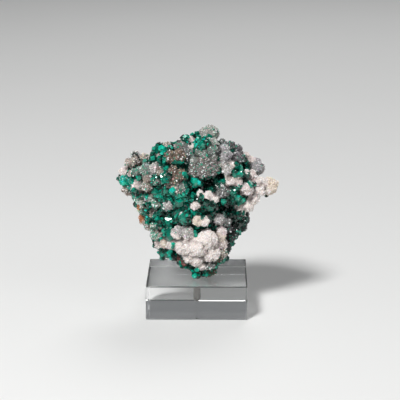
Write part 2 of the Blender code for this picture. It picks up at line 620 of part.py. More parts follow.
def make_base(parts, cutters):
    """The clear block: polished edges, and a drilled hole with a conical bottom in the middle of its top."""
    bm = bmesh.new()
    bmesh.ops.create_cube(bm, size=1.0)
    bmesh.ops.scale(bm, verts=bm.verts, vec=(BASE_SIDE, BASE_SIDE, BASE_HEIGHT))
    bmesh.ops.translate(bm, verts=bm.verts, vec=(0.0, 0.0, BASE_HEIGHT / 2))
    base = object_from(bm, "acrylic_base", parts)
    edges = base.modifiers.new("polished_edges", "BEVEL")
    edges.width = BASE_EDGE
    edges.segments = 2
    bottom = BASE_HEIGHT - HOLE_DEPTH
    drill = turned_post(
        "base_drill", PIN_RADIUS + FIT_GAP, bottom, bottom + PIN_CONE, BASE_HEIGHT + 1.0 * MM, cutters
    )
    cut_with(base, drill)
    base.data.materials.append(finish_material("clear_acrylic", CLEAR_ACRYLIC, 0.05, transmission=1.0))
    return base


def main():
    clear_scene()
    parts = new_collection("dioptase_on_base")
    cutters = new_collection("cutters")
    make_specimen(parts, cutters)
    make_pin(parts)
    make_base(parts, cutters)


main()
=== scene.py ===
"""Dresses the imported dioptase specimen, its pin and its acrylic base.

The specimen's rock is a finer copy of its solid. Sugary grains grow on its rounded lumps, each in the
colour of its kind of druse, and green crystals between them. Units are metres, +Z is up, front is -Y.
"""

import math

import bmesh
import bpy
import numpy as np
from bpy.props import FloatProperty, FloatVectorProperty, IntProperty, PointerProperty
from mathutils import Matrix, Vector
from mathutils.bvhtree import BVHTree


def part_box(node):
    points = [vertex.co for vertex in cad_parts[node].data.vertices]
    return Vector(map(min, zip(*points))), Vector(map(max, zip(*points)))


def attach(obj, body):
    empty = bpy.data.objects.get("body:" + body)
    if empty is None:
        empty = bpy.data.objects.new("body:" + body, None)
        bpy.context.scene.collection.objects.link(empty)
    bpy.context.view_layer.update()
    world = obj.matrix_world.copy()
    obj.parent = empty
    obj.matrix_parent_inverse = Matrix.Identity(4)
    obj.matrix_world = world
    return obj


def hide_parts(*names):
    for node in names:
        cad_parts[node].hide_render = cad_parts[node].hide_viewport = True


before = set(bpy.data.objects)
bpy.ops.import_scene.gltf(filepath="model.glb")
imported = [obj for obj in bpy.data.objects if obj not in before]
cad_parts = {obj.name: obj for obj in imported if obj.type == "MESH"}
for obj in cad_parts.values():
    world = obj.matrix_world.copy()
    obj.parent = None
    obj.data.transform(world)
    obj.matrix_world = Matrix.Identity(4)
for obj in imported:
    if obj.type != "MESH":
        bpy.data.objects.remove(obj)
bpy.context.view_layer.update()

bl_info = {
    "name": "Dioptase specimen",
    "version": (1, 0, 0),
    "blender": (4, 5, 0),
    "location": "View3D > Sidebar > Dioptase",
    "description": "Builds a dioptase specimen on its pin and acrylic block",
    "category": "Add Mesh",
}

MM = 0.001
SHORTEST = 1e-12
MERGE_GAP = 0.001 * MM
BODY = "root"
SPECIMEN_NODE = "dioptase_specimen"
PIN_NODE = "mounting_pin"
BASE_NODE = "acrylic_base"

# The eye of the front view. Places on the specimen are given as right and up in that view, in mm,
# through the plane that holds the pin's axis.
VIEW_TARGET = np.array((1.4, 0.0, 54.7)) * MM
VIEW_DISTANCE = 765.7 * MM
VIEW_PITCH = math.radians(13.7)
VIEW_YAW = math.radians(0.74)
SENSOR_WIDTH = 36.0
LENS = 137.8

# Each kind of druse: its colour, how many grains in a hundred are green and how many white, and how
# much lighter or darker its grains are than each other.
DRUSE_KINDS = {
    "grey": ((0.215, 0.215, 0.208), 8, 16, 0.40),
    "light_grey": ((0.38, 0.375, 0.345), 12, 20, 0.32),
    "smooth": ((0.42, 0.405, 0.41), 4, 12, 0.28),
    "grey_green": ((0.27, 0.29, 0.265), 24, 14, 0.42),
    "granular": ((0.225, 0.20, 0.185), 16, 16, 0.42),
    "mauve": ((0.145, 0.135, 0.142), 9, 10, 0.42),
    # The dark kind is painted shade: a near-black crust for lumps that lie in deep shadow.
    "dark": ((0.042, 0.045, 0.043), 12, 4, 0.35),
    "brown": ((0.20, 0.145, 0.11), 5, 12, 0.50),
    "white": ((0.88, 0.775, 0.73), 0, 14, 0.15),
    "rosy": ((0.78, 0.665, 0.635), 0, 14, 0.20),
    "pale": ((0.52, 0.48, 0.465), 3, 22, 0.30),
    "cream": ((0.76, 0.65, 0.555), 0, 6, 0.12),
    "beige": ((0.44, 0.375, 0.325), 6, 22, 0.38),
    "teal": ((0.02, 0.50, 0.40), 50, 14, 0.35),
    "mixed": ((0.46, 0.51, 0.43), 40, 26, 0.42),
    "rust": ((0.46, 0.18, 0.08), 4, 10, 0.30),
    "speckled": ((0.14, 0.095, 0.065), 30, 12, 0.45),
    "seam": ((0.24, 0.08, 0.07), 10, 6, 0.25),
}
# The ground between the lumps: dark green, made darker still as painted shade in the gaps between crystals.
GREEN_GROUND_AND_SHADE = (0.001, 0.045, 0.03)
SPECK_GREEN = (0.004, 0.32, 0.205)
SPARKLE_WHITE = (0.86, 0.86, 0.84)
LIGHTEST = 0.9
PIECE_LIMIT = 199000

# Seeds of the random choices and of the noises.
GRAIN_SEED = 12
CRYSTAL_SEED = 7
PATCH_SEED = 31
DOME_SEED = 3
EDGE_SEED = 9
TONE_SEED = 4

# The sizes of dome on the rock, as shares of the largest one's width and height, how fast a dome
# falls from its middle, and the height that leaves the rock where it is.
BUBBLE_LEVELS = [(1.0, 1.0), (0.5, 0.75), (0.27, 0.4)]
DOME_FALL = 1.7
DOME_LEVEL = 0.75

# A dome's middle lies somewhere in its cell, this share of the cell away from its low sides or
# further. The other numbers scatter the middles.
CELL_MARGIN = 0.15
CELL_ROOM = 0.7
CELL_WEIGHTS = np.array((127.1, 311.7, 74.7))
CELL_SPREAD = np.array((1.0, 1.31, 1.73))
CELL_SEED_STEP = 17.31
CELL_SHIFT = 0.7
CELL_STRETCH = 43758.5453

# Smooth noise: how many waves it adds, how many turns they make and how strong their mean is.
WAVES = 6
WAVE_RATE = 2.0
WAVE_GAIN = 1.6

# The rock's easing, the rounds that find its hollows, and how dark the painted shade in the hollows and how
# light the painted light on the ridges may make it.
EASING = 0.5
HOLLOW_ROUNDS = 60
DARKEST_PAINTED_SHADE = 0.12
LIGHTEST_PAINTED_RIDGE = 1.15

# How light the rock is under its grains, of the grains' own colour: darker as painted shade in the pits
# between grains, the more so where they are uneven.
SHADED_UNDER_GRAINS = 0.92
SHADED_UNDER_UNEVEN = 0.9

# Grains: the heights of their two tips, the darkest painted hollow shade and the furthest turn to the back
# that the front ones reach, how much they lean and differ in colour and size, and how long they are.
GRAIN_TIPS = (1.2, -0.7)
GRAIN_DARKEST = 0.35
FRONT_TURN = 0.25
GRAIN_LEAN = 0.4
GRAIN_HUE = 0.06
GRAIN_SPREAD = 0.35
GRAIN_LEAST = 0.7
GRAIN_UNEVEN = 0.75
GRAIN_LENGTH = 1.3

# Crystals: how far their rims' corners lie below the tip and their foot reaches down, of their
# length, then how small ones vary in lean, length, width and tone, how deep all of them stand, and
# how much their faces differ.
TIP_DROPS = (0.14, 0.28)
FOOT_DROP = 0.1
CRYSTAL_LEAN = 0.42
CRYSTAL_SPREAD = 0.35
CRYSTAL_WIDTHS = (0.45, 0.85)
TONE_SHAPE = (1.1, 1.5)
TONE_PATCHES = 0.15
TONE_SCALE = 5.0 * MM
TONE_MOST = 1.2
TONE_CURVE = 1.4
CRYSTAL_SUNK = 0.5
FACE_SPREAD = 0.35

# The rounded lumps of the front: right, up and radius in mm, then the kind of druse on it. Lumps of the
# dark kind are painted shade, put where the front lies in deep shadow.
LUMPS = [
    (4.5, 32.7, 5.3, "light_grey"), (6.3, 28.4, 3.0, "light_grey"), (10.6, 28.4, 2.6, "grey"),
    (15.0, 26.6, 3.2, "mauve"), (18.5, 25.2, 3.2, "mauve"), (18.5, 20.8, 3.8, "mauve"),
    (11.8, 25.4, 2.9, "smooth"), (13.0, 22.0, 3.0, "smooth"), (9.4, 22.4, 2.2, "dark"),
    (5.6, 23.8, 3.9, "grey_green"), (1.0, 23.0, 3.2, "grey_green"), (-2.6, 20.0, 3.0, "grey_green"),
    (1.8, 18.8, 3.6, "granular"), (6.4, 18.6, 3.0, "granular"), (-2.6, 15.0, 3.4, "granular"),
    (2.0, 14.4, 3.4, "granular"), (6.0, 15.4, 3.0, "granular"),
    (22.6, 22.2, 1.9, "rosy"), (25.4, 20.3, 2.6, "rosy"), (-4.0, 30.2, 1.8, "rosy"),
    (-3.6, 26.0, 1.9, "white"),
    (-14.9, 21.6, 3.0, "brown"), (-9.8, 21.8, 3.8, "brown"), (-5.6, 20.6, 2.4, "dark"),
    (-10.2, 26.2, 3.2, "granular"), (-7.2, 26.8, 2.6, "grey"), (-6.0, 23.6, 2.4, "grey"),
    (-16.6, 27.4, 2.2, "beige"), (-16.0, 24.6, 1.6, "beige"), (-20.4, 21.8, 1.5, "rosy"),
    (-13.0, 11.4, 4.2, "brown"), (-9.2, 12.6, 2.6, "brown"), (-13.6, 7.2, 2.6, "beige"),
    (-12.0, 6.2, 2.6, "beige"), (-9.4, 6.2, 2.6, "grey_green"), (-15.8, 7.8, 2.0, "beige"),
    (-13.6, 15.0, 2.2, "brown"),
    (-30.5, 14.4, 3.4, "grey_green"), (-27.0, 15.4, 3.7, "grey_green"), (-22.4, 15.6, 3.0, "pale"),
    (-20.0, 14.2, 2.0, "beige"), (-30.8, 6.8, 3.4, "rosy"), (-26.6, 7.0, 2.8, "beige"),
    (-25.8, 10.6, 2.6, "beige"), (-21.7, 9.2, 1.9, "grey_green"), (-35.0, 18.8, 2.6, "beige"),
    (-32.8, 20.2, 2.0, "beige"), (-28.0, 21.6, 2.5, "beige"), (-38.0, 14.4, 2.8, "rosy"),
    (-34.9, 13.2, 1.7, "beige"), (-37.7, 9.5, 3.3, "teal"), (-35.0, 7.4, 3.0, "teal"),
    (-37.0, 5.4, 1.6, "beige"), (-35.6, 3.2, 2.2, "beige"),
    (27.0, 16.5, 5.3, "smooth"), (10.5, 18.0, 2.2, "pale"), (13.5, 15.6, 3.0, "pale"),
    (16.0, 17.8, 1.8, "white"), (13.4, 11.4, 1.5, "white"), (13.8, 8.2, 1.4, "white"),
    (16.6, 9.4, 2.6, "rosy"), (18.8, 9.6, 2.8, "rosy"), (23.1, 14.0, 1.2, "white"),
    (26.0, 12.3, 3.3, "rosy"), (29.6, 9.6, 3.4, "white"), (29.6, 4.4, 3.5, "white"),
    (27.5, 0.4, 3.4, "white"), (24.2, -3.0, 3.6, "white"), (20.6, -4.3, 3.5, "white"),
    (18.4, -3.6, 2.2, "rosy"), (32.4, 4.4, 2.8, "white"), (26.2, -1.6, 2.8, "white"),
    (23.4, 5.4, 3.7, "rosy"), (28.6, 6.6, 2.4, "pale"), (22.6, -5.4, 2.6, "white"),
    (31.6, 8.4, 3.4, "white"), (34.8, 7.4, 4.8, "cream"), (38.0, 7.8, 2.6, "cream"),
    (20.5, -13.0, 3.4, "dark"), (15.2, -15.4, 3.0, "dark"), (15.0, -19.5, 3.6, "dark"),
    (13.0, -24.5, 3.2, "dark"),
    (0.6, 3.1, 2.0, "white"), (4.0, 2.0, 2.4, "white"), (6.6, 0.8, 2.8, "white"),
    (11.5, 4.6, 3.2, "grey"), (-16.0, -3.0, 2.6, "pale"), (-2.3, -3.6, 2.3, "white"),
    (-9.2, -6.6, 1.6, "pale"), (-6.0, -8.6, 1.4, "grey"), (-1.4, -10.6, 2.6, "cream"),
    (2.2, -10.7, 2.8, "white"), (9.6, -9.8, 3.0, "pale"), (13.2, -11.0, 2.8, "grey"),
    (14.4, -14.4, 2.4, "mauve"), (10.4, -16.4, 2.8, "rosy"), (4.6, -9.0, 1.8, "dark"),
    (-10.8, -15.6, 3.6, "pale"), (-6.8, -16.2, 3.6, "pale"), (-9.0, -19.0, 3.2, "white"),
    (-17.0, -21.6, 3.0, "cream"), (-13.0, -21.8, 3.4, "rosy"), (-7.5, -23.0, 5.2, "white"),
    (-15.0, -20.4, 2.6, "white"), (-16.0, -24.0, 2.0, "rosy"), (-12.4, -18.4, 2.8, "white"),
    (-7.4, -19.0, 3.0, "white"), (-3.6, -19.6, 2.8, "white"),
    (-1.5, -23.5, 6.0, "white"), (3.5, -20.0, 5.6, "white"), (5.0, -26.5, 5.2, "white"),
    (-1.0, -29.2, 4.6, "white"), (-5.0, -27.6, 4.2, "white"), (9.5, -18.6, 3.7, "cream"),
    (11.0, -22.5, 3.5, "rosy"), (11.0, -26.5, 3.2, "beige"), (7.5, -22.5, 3.6, "white"),
    (8.8, -29.8, 2.8, "speckled"), (1.0, -32.3, 3.2, "white"), (4.8, -31.8, 3.0, "grey"),
    (4.6, -36.0, 2.8, "speckled"), (6.6, -35.0, 2.4, "speckled"), (-10.8, -29.4, 1.7, "seam"),
    (-8.0, -31.2, 1.7, "seam"),
    (-29.5, 0.5, 3.6, "mixed"), (-25.0, 2.2, 3.2, "mixed"), (-22.5, -1.5, 2.8, "mixed"),
    (-28.0, -3.6, 3.2, "mixed"), (-28.7, -8.8, 3.1, "rust"), (-26.0, -12.4, 3.3, "beige"),
    (-22.0, -17.0, 3.2, "mixed"), (-20.2, -21.4, 2.7, "rosy"), (-24.4, -6.4, 2.2, "beige"),
    (-26.6, 0.4, 1.8, "pale"), (-24.0, -9.6, 1.8, "rust"), (-30.4, -3.6, 2.0, "rust"),
    (-22.4, -5.2, 2.3, "pale"), (-20.8, -16.0, 2.6, "beige"), (-23.4, -13.6, 2.8, "mixed"),
]

# How far behind the solid's surface a lump's middle lies, and how far its colour reaches past it, of
# its radius. The border wanders by up to so many metres, over this scale.
LUMP_SUNK = 0.9
LUMP_EDGE = 1.1
EDGE_WANDER = 0.4 * MM
EDGE_SCALE = 1.6 * MM
PLACES_AT_ONCE = 4000

# Rounded patches of druse on the back and sides: their number and the places tried for them, their radii in
# mm, and their kinds with shares. The dark kind among them, the near-black of the front's painted shade,
# falls here at random.
BACK_PATCHES = 190
BACK_TRIES = BACK_PATCHES * 3
BACK_RADII = (2.6, 6.0)
BACK_KINDS = {"grey": 0.26, "grey_green": 0.24, "beige": 0.18, "brown": 0.14, "white": 0.10, "dark": 0.08}

# Areas of the front whose crystals are darker, as painted shade in shadowed hollows, or lighter green:
# right, up and radius in mm, and the change.
PAINTED_SHADE_AND_LIGHT_GREEN_AREAS = [
    (9.0, 9.0, 5.0, -0.4), (12.5, -1.0, 3.5, -0.3), (3.5, 8.4, 3.0, -0.4), (7.5, 10.4, 3.0, -0.4),
    (14.5, -6.0, 5.0, -0.4), (21.0, -9.0, 6.0, -0.4),
    (0.5, 7.2, 2.5, -0.5), (-18.2, -8.3, 2.5, -0.3), (-23.0, 6.7, 2.5, -0.2), (-32.0, 22.5, 3.0, -0.2),
    (-8.2, 17.0, 2.0, -0.4), (-22.0, 24.0, 4.0, -0.25), (3.5, -3.0, 4.0, -0.25), (28.5, 4.2, 2.5, -0.3),
    (-12.3, 2.5, 4.5, 0.35), (-6.5, 2.5, 3.5, 0.35), (-37.5, 8.5, 4.0, 0.45), (-2.0, 10.0, 2.4, 0.3),
    (-6.5, 12.5, 1.8, 0.35), (19.0, 15.5, 2.2, 0.3), (19.0, 3.0, 3.0, 0.35), (20.5, 0.0, 2.4, 0.3),
    (-19.0, 25.0, 1.8, 0.5), (-30.7, 10.8, 1.8, 0.3), (-15.0, -13.0, 3.0, 0.15), (-24.0, -1.0, 5.0, 0.2),
    (-0.7, 28.0, 2.5, 0.1), (-17.3, 14.2, 2.0, 0.25),
]

# How far back the front's crystals and these areas reach, where the back's patches start, and how
# sharply an area ends.
FRONT_LIMIT = 4.0 * MM
BACK_LIMIT = -4.0 * MM
AREA_FADE = 4

# Large crystals: right, up in mm, length, width, the lean to the right and up in degrees, and how
# light its green is, from 0 to 1.
LARGE_CRYSTALS = [
    (-16.0, -11.5, 7.0, 4.4, 0, 70, 0.55), (-15.5, -16.5, 7.0, 4.6, 10, -60, 0.4),
    (-11.0, 19.0, 6.5, 2.6, 80, 0, 0.5), (-18.3, 24.5, 5.5, 2.4, -25, 60, 0.9),
    (-13.5, 27.0, 5.0, 3.4, 20, 50, 0.5), (-10.0, 2.5, 5.0, 4.0, 10, 20, 0.85),
    (-11.5, -2.0, 6.0, 4.6, 0, 10, 0.55), (4.0, -2.6, 7.0, 5.2, 20, -10, 0.35),
    (1.6, -2.0, 5.5, 4.6, -30, 10, 0.35), (-2.8, 9.5, 6.0, 3.6, -20, 30, 0.95),
    (-1.2, 8.6, 5.0, 3.2, 40, 10, 0.9), (11.8, -0.8, 4.5, 3.4, 10, -30, 0.6),
    (18.8, 1.2, 5.0, 3.2, -20, 20, 0.8), (21.0, -0.4, 4.6, 3.0, 40, -20, 0.8),
    (19.4, 15.2, 5.0, 3.0, 0, 60, 0.7), (17.5, 12.6, 4.5, 3.2, -50, 0, 0.6),
    (-16.8, 4.4, 6.0, 3.4, -30, 20, 0.5), (-18.0, 12.0, 6.0, 3.2, -30, 50, 0.45),
    (-21.5, 3.4, 5.0, 3.4, -20, 0, 0.5), (-8.2, -10.0, 5.5, 3.6, 0, 20, 0.5),
    (-3.0, -6.8, 4.0, 2.8, 10, 0, 0.7), (-13.6, -22.8, 3.4, 2.2, 0, 60, 0.9),
    (8.0, 8.8, 6.0, 3.6, -10, 60, 0.2), (5.2, 12.2, 5.0, 3.0, 20, -20, 0.5),
    (-33.0, 16.6, 5.0, 3.2, -10, 40, 0.4), (-30.6, 11.0, 4.6, 3.2, 0, 30, 0.7),
    (-27.2, 18.8, 5.0, 3.0, 10, 60, 0.4), (-7.0, 30.8, 5.0, 3.0, -30, 70, 0.6),
    (-4.6, 32.6, 4.6, 2.8, -10, 80, 0.7), (1.0, 27.0, 5.0, 3.2, 10, 40, 0.5),
    (-37.0, 9.0, 4.6, 3.0, -60, 10, 0.9), (-1.2, -34.6, 4.6, 2.8, -20, -30, 0.8),
    (3.0, -36.6, 4.0, 2.6, 20, -50, 0.6), (25.4, 7.6, 4.0, 2.4, 40, -50, 0.5),
    (-2.2, -18.4, 8.6, 2.6, 0, 74, 0.8), (-7.4, 12.8, 4.6, 2.8, -20, 40, 0.85),
    (3.0, 10.8, 3.6, 2.4, 30, 10, 0.75),
    (-21.0, 25.0, 6.0, 3.2, -30, 50, 0.4), (-23.0, 20.0, 6.0, 3.4, -30, 30, 0.45),
]

# How deep the large crystals' middles lie, of their width, and how far their leans carry.
LARGE_SUNK = 0.25
LEAN_SCALE = 0.9

# The pin and the block, in metres. A cone's tip is cut off at a small share of its width, and the
# block's rounded edge turns at a share of its size.
PIN_RADIUS = 1.8 * MM
PIN_CONE = 1.6 * MM
PIN_EDGE = 0.15 * MM
PIN_SIDES = 64
PRESS_FIT = 0.02 * MM
TIP_SHARE = 0.02
BLOCK_EDGE = 0.45 * MM
EDGE_TURN = 0.3
EDGE_STEPS = 5
SIDE_STEPS = 8
SHARP_EDGE = math.radians(30)

FLOOR_SIZE = 3.0
FLOOR_GAP = 0.15 * MM
FLOOR_TONE = 0.98

# The lights: where each stands, in metres, and how wide it is.
KEY_PLACE, KEY_SIZE = (-0.54, -1.00, 1.32), 0.36
FILL_PLACE, FILL_SIZE = (1.10, -0.80, 0.60), 0.80
RIM_PLACE, RIM_SIZE = (0.30, 1.30, 1.40), 0.80


def sight_axes():
    """The eye's place, and the front view's right, up and backward directions."""
    right = np.array((math.cos(VIEW_YAW), math.sin(VIEW_YAW), 0.0))
    back = np.array((
        math.sin(VIEW_YAW) * math.cos(VIEW_PITCH),
        -math.cos(VIEW_YAW) * math.cos(VIEW_PITCH),
        math.sin(VIEW_PITCH),
    ))
    return VIEW_TARGET + back * VIEW_DISTANCE, right, np.cross(back, right), back


def merged_copy(node):
    """A copy of a node's mesh with its loose triangles joined."""
    bm = bmesh.new()
    bm.from_mesh(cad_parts[node].data)
    bmesh.ops.remove_doubles(bm, verts=bm.verts, dist=MERGE_GAP)
    bmesh.ops.triangulate(bm, faces=bm.faces)
    mesh = bpy.data.meshes.new("merged_copy")
    bm.to_mesh(mesh)
    bm.free()
    return mesh


def arrays_of(mesh):
    """The mesh's points and triangles as arrays."""
    mesh.calc_loop_triangles()
    points = np.empty(len(mesh.vertices) * 3, np.float32)
    mesh.vertices.foreach_get("co", points)
    triangles = np.empty(len(mesh.loop_triangles) * 3, np.int32)
    mesh.loop_triangles.foreach_get("vertices", triangles)
    return points.reshape(-1, 3).astype(float), triangles.reshape(-1, 3)


def unit(vectors):
    """Each row scaled to length 1."""
    return vectors / np.maximum(np.linalg.norm(vectors, axis=-1, keepdims=True), SHORTEST)


def cell_hash(cells, seed):
    """Three numbers from 0 to 1 for each whole-numbered cell: the parts after the point of large sines."""
    mixed = cells @ CELL_WEIGHTS + seed * CELL_SEED_STEP
    return np.modf(np.abs(np.sin(mixed[..., None] * CELL_SPREAD + CELL_SHIFT)) * CELL_STRETCH)[0]


def cell_domes(points, size, seed):
    """Domes over a jittered grid: one minus the fall times the squared distance to the nearest middle."""
    scaled = points / size
    floor = np.floor(scaled)
    nearest = np.full(len(points), np.inf)
    for shift in np.ndindex(3, 3, 3):
        cells = floor + np.array(shift) - 1.0
        away = ((cells + CELL_MARGIN + CELL_ROOM * cell_hash(cells, seed) - scaled) ** 2).sum(axis=1)
        nearest = np.minimum(nearest, away)
    return 1.0 - np.minimum(nearest * DOME_FALL, 1.0)


def soft_noise(points, size, seed):
    """Smooth noise from about -1 to 1: the mean of a few sine waves that run in seeded directions."""
    rng = np.random.default_rng(seed)
    waves = rng.normal(size=(WAVES, 3))
    phases = rng.uniform(0.0, math.tau, WAVES)
    return np.sin(points @ (waves / size).T * WAVE_RATE + phases).mean(axis=1) * WAVE_GAIN


def hollow_depth(points, triangles, normals):
    """How deep each point lies in a hollow: how far above it the mean of its surroundings lies."""
    ends = np.concatenate([triangles[:, (0, 1)], triangles[:, (1, 2)], triangles[:, (2, 0)]])
    count = np.bincount(ends[:, 0], minlength=len(points))[:, None]
    eased = points.copy()
    for _ in range(HOLLOW_ROUNDS):
        sums = [np.bincount(ends[:, 0], eased[ends[:, 1], axis], len(points)) for axis in range(3)]
        eased = (1.0 - EASING) * eased + EASING * np.stack(sums, axis=1) / count
    return ((eased - points) * normals).sum(axis=1)


def surface_samples(points, triangles, count, rng):
    """Random places spread evenly over the triangles, their outward directions and triangle numbers."""
    corners = points[triangles]
    across = np.cross(corners[:, 1] - corners[:, 0], corners[:, 2] - corners[:, 0])
    area = np.linalg.norm(across, axis=1)
    chosen = rng.choice(len(triangles), count, p=area / area.sum())
    one = np.sqrt(rng.random((count, 1)))
    two = rng.random((count, 1))
    a, b, c = corners[chosen].transpose(1, 0, 2)
    places = a * (1.0 - one) + b * one * (1.0 - two) + c * one * two
    return places, unit(across[chosen]), chosen


def seen_surface(tree, right, up):
    """Where the eye's ray meets the surface, or else its nearest point, the normal there and the ray."""
    eye, right_axis, up_axis, _ = sight_axes()
    aim = VIEW_TARGET + (right_axis * right + up_axis * up) * MM
    ray = unit(aim - eye)
    hit = tree.ray_cast(Vector(eye), Vector(ray))
    spot, normal = hit[:2] if hit[0] else tree.find_nearest(Vector(aim))[:2]
    return np.array(spot), np.array(normal), ray


def lump_centres(tree):
    """The middle of each lump of the list, from the eye's ray to the solid and on by its radius."""
    centres = []
    for right, up, radius, _ in LUMPS:
        spot, _, ray = seen_surface(tree, right, up)
        centres.append(spot + ray * radius * LUMP_SUNK * MM)
    return np.array(centres)


def back_patches(points, triangles):
    """Seeded patches for the sides and back: their middles, radii and kinds of druse."""
    rng = np.random.default_rng(PATCH_SEED)
    places, normals, _ = surface_samples(points, triangles, BACK_TRIES, rng)
    places = places[normals[:, 1] > 0.0][:BACK_PATCHES]
    radii = rng.uniform(*BACK_RADII, len(places)) * MM
    kinds = rng.choice(list(BACK_KINDS), len(places), p=list(BACK_KINDS.values()))
    return places, radii, list(kinds)


class Colouring:
    """Says which kind of druse lies at a place: that of the lump or patch it is on, or green ground."""

    def __init__(self, tree, points, triangles):
        names = list(DRUSE_KINDS)
        places, radii, kinds = back_patches(points, triangles)
        self.centres = np.concatenate([lump_centres(tree), places])
        self.radii = np.concatenate([np.array([lump[2] for lump in LUMPS]) * MM, radii])
        self.kinds = np.array([names.index(lump[3]) for lump in LUMPS] + [names.index(k) for k in kinds])
        self.front = len(LUMPS)

    def kinds_at(self, places):
        """The number of the kind at each place, or -1 on green ground. The borders wander a little."""
        found = np.empty(len(places), int)
        wander = EDGE_WANDER * np.abs(soft_noise(places, EDGE_SCALE, EDGE_SEED))
        for start in range(0, len(places), PLACES_AT_ONCE):
            part = slice(start, start + PLACES_AT_ONCE)
            away = np.linalg.norm(places[part, None] - self.centres[None], axis=2) / self.radii
            front = away[:, :self.front].argmin(axis=1)
            back = away[:, self.front:].argmin(axis=1) + self.front
            rows = np.arange(len(away))
            past_front = (away[rows, front] - LUMP_EDGE) * self.radii[front]
            past_back = (away[rows, back] - 1.0) * self.radii[back]
            on_back = (past_back < wander[part]) & (places[part, 1] > BACK_LIMIT)
            kind = np.where(on_back, self.kinds[back], -1)
            found[part] = np.where(past_front < wander[part], self.kinds[front], kind)
        return found


def seen_at(places):
    """Where the eye sees each place: right and up in mm, through the plane that holds the pin."""
    eye, right_axis, up_axis, back = sight_axes()
    away = places - eye
    scale = -VIEW_DISTANCE / (away @ back) / MM
    return np.stack([away @ right_axis, away @ up_axis], axis=1) * scale[:, None]


def green_tones_and_painted_shade(places):
    """How much lighter or darker the greens are at each place, from the list of areas: darker as painted
    shade, lighter as lighter green.
    """
    seen = seen_at(places)
    tones = np.zeros(len(places))
    for right, up, radius, change in PAINTED_SHADE_AND_LIGHT_GREEN_AREAS:
        away = np.hypot(seen[:, 0] - right, seen[:, 1] - up) / radius
        tones += change * np.exp(-away ** AREA_FADE)
    return np.where(places[:, 1] < FRONT_LIMIT, tones, 0.0)


def kind_table():
    """The kinds' colours, shares of green and white grains, and unevenness, as arrays."""
    colours = np.array([kind[0] for kind in DRUSE_KINDS.values()])
    green, white, uneven = np.array([kind[1:] for kind in DRUSE_KINDS.values()]).T
    return colours, green / 100.0, white / 100.0, uneven


def scene_object(name, data):
    """A new object in the scene that holds this mesh, light or camera."""
    obj = bpy.data.objects.new(name, data)
    bpy.context.scene.collection.objects.link(obj)
    return obj


def mesh_piece(name, points, faces, smooth=False):
    """An object at the origin from points and faces, a list of arrays with one row to a face."""
    mesh = bpy.data.meshes.new(name)
    mesh.vertices.add(len(points))
    mesh.vertices.foreach_set("co", points.astype(np.float32).ravel())
    corners = np.concatenate([part.ravel() for part in faces]).astype(np.int32)
    sizes = np.concatenate([np.full(len(part), part.shape[1]) for part in faces])
    mesh.loops.add(len(corners))
    mesh.loops.foreach_set("vertex_index", corners)
    mesh.polygons.add(len(sizes))
    mesh.polygons.foreach_set("loop_start", (np.cumsum(sizes) - sizes).astype(np.int32))
    mesh.polygons.foreach_set("use_smooth", np.full(len(sizes), smooth))
    mesh.update(calc_edges=True)
    mesh.validate()
    return scene_object(name, mesh)


def copies(shape, faces, places, turns, sizes):
    """Copies of one shape: its points scaled by `sizes`, turned by `turns` and moved to `places`."""
    scaled = shape[None] * sizes[:, None]
    points = np.einsum("nij,nkj->nki", turns, scaled) + places[:, None]
    starts = np.arange(len(places))[:, None, None] * len(shape)
    return points.reshape(-1, 3), [(part[None] + starts).reshape(-1, part.shape[1]) for part in faces]


def turns_along(axes, rng):
    """For each axis, a rotation that takes +Z to it, with a random spin about it."""
    helper = unit(rng.normal(size=axes.shape))
    side = unit(np.cross(helper, axes))
    return np.stack([side, np.cross(axes, side), axes], axis=2)


def grain_shape():
    """A grain of druse: a ring of four points between two unequal tips, eight faces in all."""
    ring = np.arange(4)
    angle = ring * math.tau / 4
    points = np.concatenate([
        np.stack([np.cos(angle), np.sin(angle), 0.0 * angle], axis=1),
        [(0, 0, GRAIN_TIPS[0])], [(0, 0, GRAIN_TIPS[1])],
    ])
    after = (ring + 1) % 4
    up = np.stack([ring, after, np.full(4, 4)], axis=1)
    down = np.stack([after, ring, np.full(4, 5)], axis=1)
    return points, [up, down]


# How light each point of a crystal is, as painted shade low down and painted light at the tip: its foot,
# its rim, its tip and the point under it.
CRYSTAL_PAINTED_LIGHT = np.array([0.5] * 6 + [1.0] * 6 + [1.5, 0.5])


def crystal_shape():
    """A hexagonal prism carried up its axis, closed by three rhombs that meet at the tip.

    The rim's corners lie in turn half and a whole slope below the tip, which keeps each rhomb flat.
    The foot is a blunt point, hidden in the rock. Its width and length are both 1.
    """
    ring = np.arange(6)
    angle = ring * math.tau / 6
    across = np.stack([np.cos(angle), np.sin(angle)], axis=1) * 0.5
    drop = np.where(ring % 2 == 0, *TIP_DROPS)
    points = np.concatenate([
        np.column_stack([across, np.zeros(6)]), np.column_stack([across, 1.0 - drop]),
        [(0, 0, 1.0)], [(0, 0, -FOOT_DROP)],
    ])
    after = (ring + 1) % 6
    sides = np.stack([ring, after, after + 6, ring + 6], axis=1)
    low = np.array((1, 3, 5))
    caps = np.stack([low - 1 + 6, low + 6, (low + 1) % 6 + 6, np.full(3, 12)], axis=1)
    foot = np.stack([after, ring, np.full(6, 13)], axis=1)
    return points, [sides, caps, foot]


def add_tint(obj, colours, domain="POINT"):
    """Writes the colours to the mesh's points, or its faces' corners, as its tint."""
    attribute = obj.data.color_attributes.new("tint", "FLOAT_COLOR", domain)
    rgba = np.column_stack([np.clip(colours, 0.0, LIGHTEST), np.ones(len(colours))]).astype(np.float32)
    attribute.data.foreach_set("color", rgba.ravel())


def add_to_part(obj, material, node):
    """Gives the piece its material and body, and makes it stand for its node by hiding the node."""
    obj.data.materials.append(material)
    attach(obj, BODY)
    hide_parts(node)


